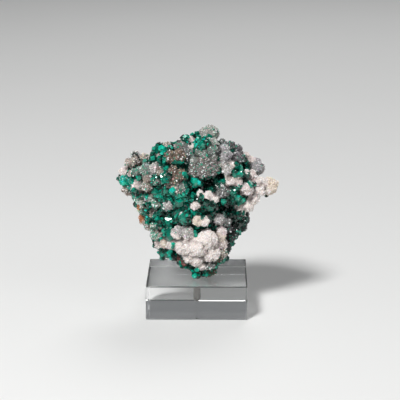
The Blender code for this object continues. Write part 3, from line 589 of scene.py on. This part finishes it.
def new_material(name, roughness, ior=1.5):
    """A material with its Principled shader, and the tree to add nodes to."""
    material = bpy.data.materials.new(name)
    material.use_nodes = True
    tree = material.node_tree
    shader = tree.nodes["Principled BSDF"]
    shader.inputs["Roughness"].default_value = roughness
    shader.inputs["IOR"].default_value = ior
    return material, tree, shader


def node_with(tree, kind, **inputs):
    """A node of this kind with its input values set. Underscores in a name stand for spaces."""
    node = tree.nodes.new(kind)
    for name, value in inputs.items():
        node.inputs[name.replace("_", " ")].default_value = value
    return node


def noise_on_object(tree, scale, detail):
    """Noise in the object's own metres."""
    place = tree.nodes.new("ShaderNodeTexCoord")
    noise = node_with(tree, "ShaderNodeTexNoise", Scale=scale, Detail=detail)
    tree.links.new(place.outputs["Object"], noise.inputs["Vector"])
    return noise


def varied_tint(tree, shader, low, high, scale):
    """Base colour from the mesh's tint, lightened and darkened by fine noise."""
    tint = tree.nodes.new("ShaderNodeVertexColor")
    tint.layer_name = "tint"
    noise = noise_on_object(tree, scale, detail=3.0)
    spread = node_with(tree, "ShaderNodeMapRange", To_Min=low, To_Max=high)
    tree.links.new(noise.outputs["Fac"], spread.inputs["Value"])
    mix = tree.nodes.new("ShaderNodeMix")
    mix.data_type = "RGBA"
    mix.blend_type = "MULTIPLY"
    mix.inputs["Factor"].default_value = 1.0
    tree.links.new(tint.outputs["Color"], mix.inputs["A"])
    tree.links.new(spread.outputs["Result"], mix.inputs["B"])
    tree.links.new(mix.outputs["Result"], shader.inputs["Base Color"])
    return noise


def rough_by(tree, shader, noise, low, high):
    """Roughness that follows the noise between two values."""
    spread = node_with(tree, "ShaderNodeMapRange", To_Min=low, To_Max=high)
    tree.links.new(noise.outputs["Fac"], spread.inputs["Value"])
    tree.links.new(spread.outputs["Result"], shader.inputs["Roughness"])


def colour_by(tree, shader, noise, low, high):
    """Base colour that follows the noise between two colours."""
    mix = tree.nodes.new("ShaderNodeMix")
    mix.data_type = "RGBA"
    mix.inputs["A"].default_value = (*low, 1.0)
    mix.inputs["B"].default_value = (*high, 1.0)
    tree.links.new(noise.outputs["Fac"], mix.inputs["Factor"])
    tree.links.new(mix.outputs["Result"], shader.inputs["Base Color"])


def bump_by(tree, shader, noise, strength, distance):
    """A fine bump from the noise."""
    bump = node_with(tree, "ShaderNodeBump", Strength=strength, Distance=distance)
    tree.links.new(noise.outputs["Fac"], bump.inputs["Height"])
    tree.links.new(bump.outputs["Normal"], shader.inputs["Normal"])


def rock_material():
    """The rock and druse under the grains: a sugary, dull crust."""
    material, tree, shader = new_material("sugary_rock", roughness=0.6)
    noise = varied_tint(tree, shader, low=0.45, high=1.35, scale=1400.0)
    rough_by(tree, shader, noise, low=0.45, high=0.8)
    bump_by(tree, shader, noise, strength=0.6, distance=0.4 * MM)
    return material


def grain_material():
    """The tiny quartz crystals: light, glassy and a little frosted."""
    material, tree, shader = new_material("druse_grains", roughness=0.3)
    noise = varied_tint(tree, shader, low=0.7, high=1.25, scale=900.0)
    rough_by(tree, shader, noise, low=0.18, high=0.5)
    return material


def crystal_material():
    """Dioptase: deep emerald, see-through at its edges, with bright faces."""
    material, tree, shader = new_material("dioptase", roughness=0.1, ior=1.66)
    shader.inputs["Transmission Weight"].default_value = 0.45
    noise = varied_tint(tree, shader, low=0.4, high=1.6, scale=900.0)
    rough_by(tree, shader, noise, low=0.04, high=0.22)
    return material


def pin_material():
    """Turned steel: fine rings round the pin, from noise squeezed along its axis."""
    material, tree, shader = new_material("turned_steel", roughness=0.3)
    shader.inputs["Metallic"].default_value = 1.0
    place = tree.nodes.new("ShaderNodeTexCoord")
    squeeze = tree.nodes.new("ShaderNodeMapping")
    squeeze.inputs["Scale"].default_value = (60.0, 60.0, 4000.0)
    noise = node_with(tree, "ShaderNodeTexNoise", Scale=1.0, Detail=4.0)
    tree.links.new(place.outputs["Object"], squeeze.inputs["Vector"])
    tree.links.new(squeeze.outputs["Vector"], noise.inputs["Vector"])
    colour_by(tree, shader, noise, low=(0.15, 0.146, 0.14), high=(0.36, 0.35, 0.335))
    rough_by(tree, shader, noise, low=0.22, high=0.4)
    return material


def acrylic_material():
    """Clear cast acrylic, polished, with a faint haze of fine scratches."""
    material, tree, shader = new_material("clear_acrylic", roughness=0.01, ior=1.49)
    shader.inputs["Transmission Weight"].default_value = 1.0
    shader.inputs["Base Color"].default_value = (0.985, 0.99, 0.99, 1.0)
    noise = noise_on_object(tree, scale=300.0, detail=6.0)
    rough_by(tree, shader, noise, low=0.0, high=0.03)
    return material


def floor_material(colour):
    """A plain, pale, matt floor with a hint of tone."""
    material, tree, shader = new_material("pale_floor", roughness=0.7)
    noise = noise_on_object(tree, scale=6.0, detail=2.0)
    colour_by(tree, shader, noise, low=[channel * FLOOR_TONE for channel in colour], high=colour)
    return material


def fine_rock(settings):
    """The solid's merged copy in small even faces, rounded, and raised in three sizes of domes.

    Gives the mesh, its points and triangles, and its painted shade: how light each point is, less in the
    hollows and a little more on the ridges.
    """
    holder = scene_object("holder", merged_copy(SPECIMEN_NODE))
    remesh = holder.modifiers.new("even_faces", "REMESH")
    remesh.mode = "VOXEL"
    remesh.voxel_size = settings.rock_step
    smooth = holder.modifiers.new("round_off", "SMOOTH")
    smooth.factor = EASING
    smooth.iterations = settings.rock_rounding
    graph = bpy.context.evaluated_depsgraph_get()
    mesh = bpy.data.meshes.new_from_object(holder.evaluated_get(graph))
    bpy.data.objects.remove(holder)
    mesh.name = "sugary_rock"
    points, triangles = arrays_of(mesh)
    relief = np.zeros(len(points))
    for level, (width, height) in enumerate(BUBBLE_LEVELS):
        domes = cell_domes(points, settings.bubble_size * width, DOME_SEED + level)
        relief += (domes - DOME_LEVEL) * settings.bubble_height * height
    points += vertex_normals(mesh) * relief[:, None]
    mesh.vertices.foreach_set("co", points.astype(np.float32).ravel())
    mesh.update()
    depth = hollow_depth(points, triangles, vertex_normals(mesh))
    # Painted shade: darker the deeper a point lies in a hollow, a little lighter on ridges.
    light = np.clip(1.0 - depth / settings.hollow_depth, DARKEST_PAINTED_SHADE, LIGHTEST_PAINTED_RIDGE)
    return mesh, points, triangles, light


def vertex_normals(mesh):
    """The outward direction at each point of the mesh."""
    normals = np.empty(len(mesh.vertices) * 3, np.float32)
    mesh.vertex_normals.foreach_get("vector", normals)
    return normals.reshape(-1, 3)


class DioptaseSettings(bpy.types.PropertyGroup):
    rock_step: FloatProperty(
        name="Rock step", description="Size of the rock's faces", default=0.52 * MM, unit="LENGTH"
    )
    rock_rounding: IntProperty(
        name="Rounding", description="How many times the rock's faces are eased", default=3, min=0
    )
    bubble_size: FloatProperty(
        name="Bubble size", description="Width of the largest domes on the rock", default=3.8 * MM,
        unit="LENGTH",
    )
    bubble_height: FloatProperty(
        name="Bubble height", description="Height of the largest domes", default=0.75 * MM, unit="LENGTH"
    )
    # The depth at which the painted hollow shade is quite dark.
    hollow_depth: FloatProperty(
        name="Hollow depth", description="Depth at which a hollow is quite dark", default=1.1 * MM,
        unit="LENGTH",
    )
    grain_count: IntProperty(name="Grains", description="Places tried for grains of druse", default=60000)
    grain_size: FloatProperty(
        name="Grain size", description="Usual half width of a grain", default=0.27 * MM, unit="LENGTH"
    )
    crystal_count: IntProperty(
        name="Crystals", description="Places tried for small green crystals", default=30000
    )
    crystal_length: FloatProperty(
        name="Crystal length", description="Usual length of a small crystal", default=1.6 * MM,
        unit="LENGTH",
    )
    # The darkest green also stands as painted shade where crystals lie in hollows and darker areas.
    crystal_dark: FloatVectorProperty(
        name="Dark green", description="Colour of the deepest crystals", default=(0.0, 0.02, 0.013),
        subtype="COLOR",
    )
    crystal_light: FloatVectorProperty(
        name="Light green", description="Colour of the lightest crystals", default=(0.006, 0.70, 0.465),
        subtype="COLOR",
    )
    floor_colour: FloatVectorProperty(
        name="Floor", description="Colour of the pale floor", default=(0.82, 0.82, 0.81), subtype="COLOR"
    )
    key_power: FloatProperty(
        name="Key light", description="Power of the light from the upper left", default=30.0, unit="POWER"
    )
    fill_power: FloatProperty(
        name="Fill light", description="Power of the light from the right", default=2.2, unit="POWER"
    )
    rim_power: FloatProperty(
        name="Rim light", description="Power of the light from behind", default=8.5, unit="POWER"
    )


# What the operators share.
SHARED = {}


def rock_state():
    """The rock's points, triangles and colouring, made once."""
    if "points" not in SHARED:
        settings = bpy.context.scene.dioptase
        solid_points, solid_triangles = arrays_of(merged_copy(SPECIMEN_NODE))
        tree = BVHTree.FromPolygons(solid_points.tolist(), solid_triangles.tolist())
        mesh, points, triangles, light = fine_rock(settings)
        SHARED.update(
            mesh=mesh, points=points, triangles=triangles, light=light,
            colouring=Colouring(tree, solid_points, solid_triangles),
        )
    return SHARED


def rock_samples(count, rng):
    """Random places on the rock, their outward directions, kinds of druse and painted hollow shade."""
    state = rock_state()
    places, normals, chosen = surface_samples(state["points"], state["triangles"], count, rng)
    light = state["light"][state["triangles"][chosen, 0]]
    return places, normals, state["colouring"].kinds_at(places), light


def crystal_tints(tones, settings):
    """The green of each crystal, from dark to light by its tone."""
    dark = np.array(settings.crystal_dark)
    light = np.array(settings.crystal_light)
    return dark + (light - dark) * np.clip(tones, 0.0, TONE_MOST)[:, None] ** TONE_CURVE


class DIOPTASE_OT_rock(bpy.types.Operator):
    """Builds the rock: the solid's finer copy, tinted by the druse on each lump"""

    bl_idname = "dioptase.rock"
    bl_label = "Rock"

    def execute(self, context):
        state = rock_state()
        kinds = state["colouring"].kinds_at(state["points"])
        colours, _, _, uneven = kind_table()
        # Painted shade in the pits between grains: the rock under them is darker than their colour.
        under = colours * (SHADED_UNDER_GRAINS - SHADED_UNDER_UNEVEN * uneven)[:, None]
        tints = np.where(kinds[:, None] < 0, GREEN_GROUND_AND_SHADE, under[kinds])
        # Painted hollow shade on the rock.
        tints = tints * state["light"][:, None]
        rock = scene_object("sugary_rock", state["mesh"])
        rock.data.shade_smooth()
        add_tint(rock, tints)
        rock.data.materials.clear()
        add_to_part(rock, rock_material(), SPECIMEN_NODE)
        return {"FINISHED"}


class DIOPTASE_OT_druse(bpy.types.Operator):
    """Strews tiny grains over the lumps, each in its lump's colour or now and then green or white"""

    bl_idname = "dioptase.druse"
    bl_label = "Druse grains"

    def execute(self, context):
        rng = np.random.default_rng(GRAIN_SEED)
        places, normals, kinds, light = rock_samples(context.scene.dioptase.grain_count, rng)
        kept = (kinds >= 0) & (light > GRAIN_DARKEST)
        places, normals, kinds, light = places[kept], normals[kept], kinds[kept], light[kept]
        material = grain_material()
        front = normals[:, 1] < FRONT_TURN
        for name, part in (("front_grains", front), ("back_grains", ~front)):
            grains = self.strew(name, places[part], normals[part], kinds[part], light[part], rng)
            add_to_part(grains, material, SPECIMEN_NODE)
        return {"FINISHED"}

    def strew(self, name, places, normals, kinds, light, rng):
        """One piece of grains, at most as many as a piece may hold."""
        settings = bpy.context.scene.dioptase
        shape, faces = grain_shape()
        most = PIECE_LIMIT // sum(len(part) for part in faces)
        places, normals, kinds, light = places[:most], normals[:most], kinds[:most], light[:most]
        colours, green, white, uneven = kind_table()
        chance = rng.random(len(places))
        shade = np.exp(rng.normal(0.0, 1.0, (len(places), 1)) * uneven[kinds][:, None])
        tints = colours[kinds] * shade * rng.normal(1.0, GRAIN_HUE, (len(places), 3))
        tints[chance < green[kinds]] = SPECK_GREEN
        tints[chance > 1.0 - white[kinds]] = SPARKLE_WHITE
        # Painted hollow shade on the grains.
        tints *= light[:, None]
        axes = unit(normals + rng.normal(0.0, GRAIN_LEAN, normals.shape))
        size = settings.grain_size * rng.lognormal(0.0, GRAIN_SPREAD, (len(places), 1))
        size *= GRAIN_LEAST + GRAIN_UNEVEN * uneven[kinds][:, None]
        sizes = size * np.array((1.0, 1.0, GRAIN_LENGTH))
        points, quads = copies(shape, faces, places, turns_along(axes, rng), sizes)
        grains = mesh_piece(name, points, quads)
        add_tint(grains, np.repeat(tints, len(shape), axis=0))
        return grains


class DIOPTASE_OT_crystals(bpy.types.Operator):
    """Grows green crystals: a crowd of small ones on green ground, and the large ones of the list"""

    bl_idname = "dioptase.crystals"
    bl_label = "Dioptase crystals"

    def execute(self, context):
        settings = context.scene.dioptase
        state = rock_state()
        rng = np.random.default_rng(CRYSTAL_SEED)
        rock = BVHTree.FromPolygons(state["points"].tolist(), state["triangles"].tolist())
        crowds = zip(self.small_ones(settings, rng), self.large_ones(rock))
        places, axes, length, width, tones = (np.concatenate(pair) for pair in crowds)
        feet = places - axes * (length * CRYSTAL_SUNK)[:, None]
        shape, faces = crystal_shape()
        sizes = np.column_stack([width, width, length])
        turns = turns_along(axes, rng)
        tints = crystal_tints(tones, settings)
        material = crystal_material()
        front = places[:, 1] < FRONT_LIMIT
        for name, part in (("front_crystals", front), ("back_crystals", ~front)):
            points, quads = copies(shape, faces, feet[part], turns[part], sizes[part])
            crystals = mesh_piece(name, points, quads)
            add_tint(crystals, self.corner_tints(tints[part], faces, rng), "CORNER")
            add_to_part(crystals, material, SPECIMEN_NODE)
        return {"FINISHED"}

    def corner_tints(self, tints, faces, rng):
        """A colour for each face corner: painted shade low down and painted light up the crystal, and
        uneven from face to face.
        """
        colours = []
        for part in faces:
            painted_rise = CRYSTAL_PAINTED_LIGHT[part][None, :, :, None]
            face = np.exp(rng.normal(0.0, FACE_SPREAD, (len(tints), len(part), 1, 1)))
            colours.append((tints[:, None, None] * painted_rise * face).reshape(-1, 3))
        return np.concatenate(colours)

    def small_ones(self, settings, rng):
        """Middles, axes, lengths, widths and tones of the crowd of small crystals on green ground."""
        places, normals, kinds, light = rock_samples(settings.crystal_count, rng)
        kept = kinds < 0
        places, normals, light = places[kept], normals[kept], light[kept]
        axes = unit(normals + rng.normal(0.0, CRYSTAL_LEAN, normals.shape))
        length = settings.crystal_length * rng.lognormal(0.0, CRYSTAL_SPREAD, len(places))
        width = length * rng.uniform(*CRYSTAL_WIDTHS, len(places))
        tones = rng.beta(*TONE_SHAPE, len(places))
        tones = tones + TONE_PATCHES * soft_noise(places, TONE_SCALE, TONE_SEED)
        # The tones take the painted shade of the hollows and of the darker areas.
        tones = (tones + green_tones_and_painted_shade(places)) * np.minimum(light, 1.0)
        return places, axes, length, width, tones

    def large_ones(self, tree):
        """Middles, axes, lengths, widths and tones of the large crystals.

        Each middle is where the eye's ray meets the rock, sunk by a share of the crystal's width.
        """
        _, right_axis, up_axis, back = sight_axes()
        rows = np.array(LARGE_CRYSTALS, float)
        spots = []
        for right, up, _, width in rows[:, :4]:
            spot, normal, _ = seen_surface(tree, right, up)
            spots.append(spot - normal * width * LARGE_SUNK * MM)
        lean = np.tan(np.radians(rows[:, 4:6]) * LEAN_SCALE)
        axes = unit(back + lean[:, :1] * right_axis + lean[:, 1:] * up_axis)
        return np.array(spots), axes, rows[:, 2] * MM, rows[:, 3] * MM, rows[:, 6]


def turned_surface(profile, sides):
    """A profile of (radius, height) carried round the upright axis, closed by a point at each end."""
    angle = np.arange(sides) * math.tau / sides
    inner = np.array(profile[1:-1])
    ring = np.stack([np.cos(angle), np.sin(angle)], axis=1)
    rings = np.concatenate([
        np.column_stack([ring * radius, np.full(sides, height)]) for radius, height in inner
    ])
    points = np.concatenate([rings, [(0, 0, profile[0][1])], [(0, 0, profile[-1][1])]])
    return points, closed_rings(len(inner), sides)


def closed_rings(rings, sides):
    """Faces between rings, and fans from the first and last ring to the two points after them."""
    around = np.arange(sides)
    after = (around + 1) % sides
    steps = np.arange(rings - 1)[:, None] * sides
    quads = np.stack([around + steps, after + steps, after + sides + steps, around + sides + steps], axis=2)
    first = np.stack([after, around, np.full(sides, rings * sides)], axis=1)
    last = np.stack([around, after, np.full(sides, rings * sides + 1)], axis=1)
    last[:, :2] += (rings - 1) * sides
    return [quads.reshape(-1, 4), first, last]


class DIOPTASE_OT_pin(bpy.types.Operator):
    """Turns the steel pin, with its conical end"""

    bl_idname = "dioptase.pin"
    bl_label = "Pin"

    def execute(self, context):
        low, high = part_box(PIN_NODE)
        profile = [
            (0.0, low.z), (PIN_RADIUS * TIP_SHARE, low.z + PIN_CONE * TIP_SHARE),
            (PIN_RADIUS, low.z + PIN_CONE), (PIN_RADIUS, high.z - PIN_EDGE),
            (PIN_RADIUS - PIN_EDGE, high.z), (0.0, high.z),
        ]
        pin = mesh_piece("steel_pin", *turned_surface(profile, PIN_SIDES), smooth=True)
        pin.data.set_sharp_from_angle(angle=SHARP_EDGE)
        add_to_part(pin, pin_material(), PIN_NODE)
        return {"FINISHED"}


def square_outline(half, radius):
    """A square with rounded corners: anticlockwise, each side and then the arc of its corner."""
    corners = np.array([(1, 1), (-1, 1), (-1, -1), (1, -1)])
    along = np.linspace(0.0, 1.0, SIDE_STEPS + 1)[:-1]
    points = []
    for index, corner in enumerate(corners):
        angle = (index + np.linspace(0.0, 1.0, EDGE_STEPS)) * math.pi / 2
        arc = corner * (half - radius) + radius * np.stack([np.cos(angle), np.sin(angle)], axis=1)
        side = (corner - corners[index - 1]) * (half - radius)
        points.append(arc[0] - side * (1.0 - along)[:, None])
        points.append(arc)
    return np.concatenate(points)


class DIOPTASE_OT_base(bpy.types.Operator):
    """Casts the clear block: rings up the hole's wall, over the top and down to the underside"""

    bl_idname = "dioptase.base"
    bl_label = "Acrylic base"

    def execute(self, context):
        low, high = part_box(BASE_NODE)
        half = high.x
        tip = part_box(PIN_NODE)[0].z + PRESS_FIT
        hole = PIN_RADIUS - PRESS_FIT
        edge = BLOCK_EDGE
        turn = edge * EDGE_TURN
        outline = square_outline(half, edge)
        angles = np.arctan2(outline[:, 1], outline[:, 0])
        circle = np.stack([np.cos(angles), np.sin(angles)], axis=1)
        inset = outline * (half - edge) / half
        middle = outline * (half - turn) / half
        rings = [
            (circle * hole * TIP_SHARE, tip + PIN_CONE * TIP_SHARE), (circle * hole, tip + PIN_CONE),
            (circle * hole, high.z), (inset, high.z), (middle, high.z - turn),
            (outline, high.z - edge), (outline, low.z + edge), (middle, low.z + turn), (inset, low.z),
        ]
        sides = len(outline)
        points = np.concatenate([np.column_stack([ring, np.full(sides, height)]) for ring, height in rings])
        points = np.concatenate([points, [(0, 0, tip)], [(0, 0, low.z)]])
        faces = [part[:, ::-1] for part in closed_rings(len(rings), sides)]
        base = mesh_piece("acrylic_block", points, faces)
        # The hole's cone and wall are round, so they are shaded smooth.
        smooth = np.zeros(len(base.data.polygons), bool)
        smooth[:sides * 2] = True
        base.data.polygons.foreach_set("use_smooth", smooth)
        add_to_part(base, acrylic_material(), BASE_NODE)
        return {"FINISHED"}


def add_area_light(name, place, aim, size, power):
    """An area light that looks at the aim."""
    data = bpy.data.lights.new(name, "AREA")
    data.energy = power
    data.size = size
    light = scene_object(name, data)
    light.location = place
    light.rotation_euler = (Vector(place) - Vector(aim)).to_track_quat("Z", "Y").to_euler()


def pale_room():
    """A dim pale room that is lighter low down, like the walls of a light tent."""
    world = bpy.data.worlds.new("pale_room")
    world.use_nodes = True
    tree = world.node_tree
    place = tree.nodes.new("ShaderNodeTexCoord")
    split = tree.nodes.new("ShaderNodeSeparateXYZ")
    spread = node_with(tree, "ShaderNodeMapRange", From_Min=0.1, From_Max=0.5, To_Min=0.32, To_Max=0.07)
    tree.links.new(place.outputs["Generated"], split.inputs["Vector"])
    tree.links.new(split.outputs["Z"], spread.inputs["Value"])
    background = tree.nodes["Background"]
    background.inputs["Color"].default_value = (0.94, 0.97, 1.0, 1.0)
    tree.links.new(spread.outputs["Result"], background.inputs["Strength"])
    return world


class DIOPTASE_OT_stage(bpy.types.Operator):
    """Sets up the pale floor, the soft lights and the camera"""

    bl_idname = "dioptase.stage"
    bl_label = "Stage"

    def execute(self, context):
        settings = context.scene.dioptase
        bpy.ops.mesh.primitive_plane_add(size=FLOOR_SIZE, location=(0.0, 0.0, -FLOOR_GAP))
        floor = context.object
        floor.name = "pale_floor"
        floor.data.materials.append(floor_material(settings.floor_colour))
        aim = tuple(VIEW_TARGET)
        add_area_light("key", KEY_PLACE, aim, KEY_SIZE, settings.key_power)
        add_area_light("fill", FILL_PLACE, aim, FILL_SIZE, settings.fill_power)
        add_area_light("rim", RIM_PLACE, aim, RIM_SIZE, settings.rim_power)
        context.scene.world = pale_room()
        context.scene.view_settings.view_transform = "Standard"
        self.add_camera(context)
        return {"FINISHED"}

    def add_camera(self, context):
        """The camera at the front view's eye."""
        eye, right, up, back = sight_axes()
        data = bpy.data.cameras.new("front_view")
        data.sensor_width = SENSOR_WIDTH
        data.lens = LENS
        camera = scene_object("front_view", data)
        turn = Matrix([right, up, back]).transposed().to_4x4()
        camera.matrix_world = Matrix.Translation(Vector(eye)) @ turn
        context.scene.camera = camera


class DIOPTASE_PT_panel(bpy.types.Panel):
    """Shows the specimen's settings and the buttons that build its pieces in the sidebar."""

    bl_idname = "DIOPTASE_PT_panel"
    bl_label = "Dioptase"
    bl_space_type = "VIEW_3D"
    bl_region_type = "UI"
    bl_category = "Dioptase"

    def draw(self, context):
        settings = context.scene.dioptase
        for name in settings.bl_rna.properties.keys():
            if name not in ("rna_type", "name"):
                self.layout.prop(settings, name)
        for operator in OPERATORS:
            self.layout.operator(operator.bl_idname)


OPERATORS = (
    DIOPTASE_OT_stage, DIOPTASE_OT_rock, DIOPTASE_OT_druse, DIOPTASE_OT_crystals, DIOPTASE_OT_pin,
    DIOPTASE_OT_base,
)
CLASSES = (DioptaseSettings, *OPERATORS, DIOPTASE_PT_panel)


def register():
    """Registers the classes and hangs the settings on the scene."""
    for each in CLASSES:
        bpy.utils.register_class(each)
    bpy.types.Scene.dioptase = PointerProperty(type=DioptaseSettings)


def unregister():
    """Takes the settings and the classes away again."""
    del bpy.types.Scene.dioptase
    for each in reversed(CLASSES):
        bpy.utils.unregister_class(each)


def main():
    register()
    bpy.ops.dioptase.stage()
    bpy.ops.dioptase.rock()
    bpy.ops.dioptase.druse()
    bpy.ops.dioptase.crystals()
    bpy.ops.dioptase.pin()
    bpy.ops.dioptase.base()


if __name__ == "__main__":
    main()
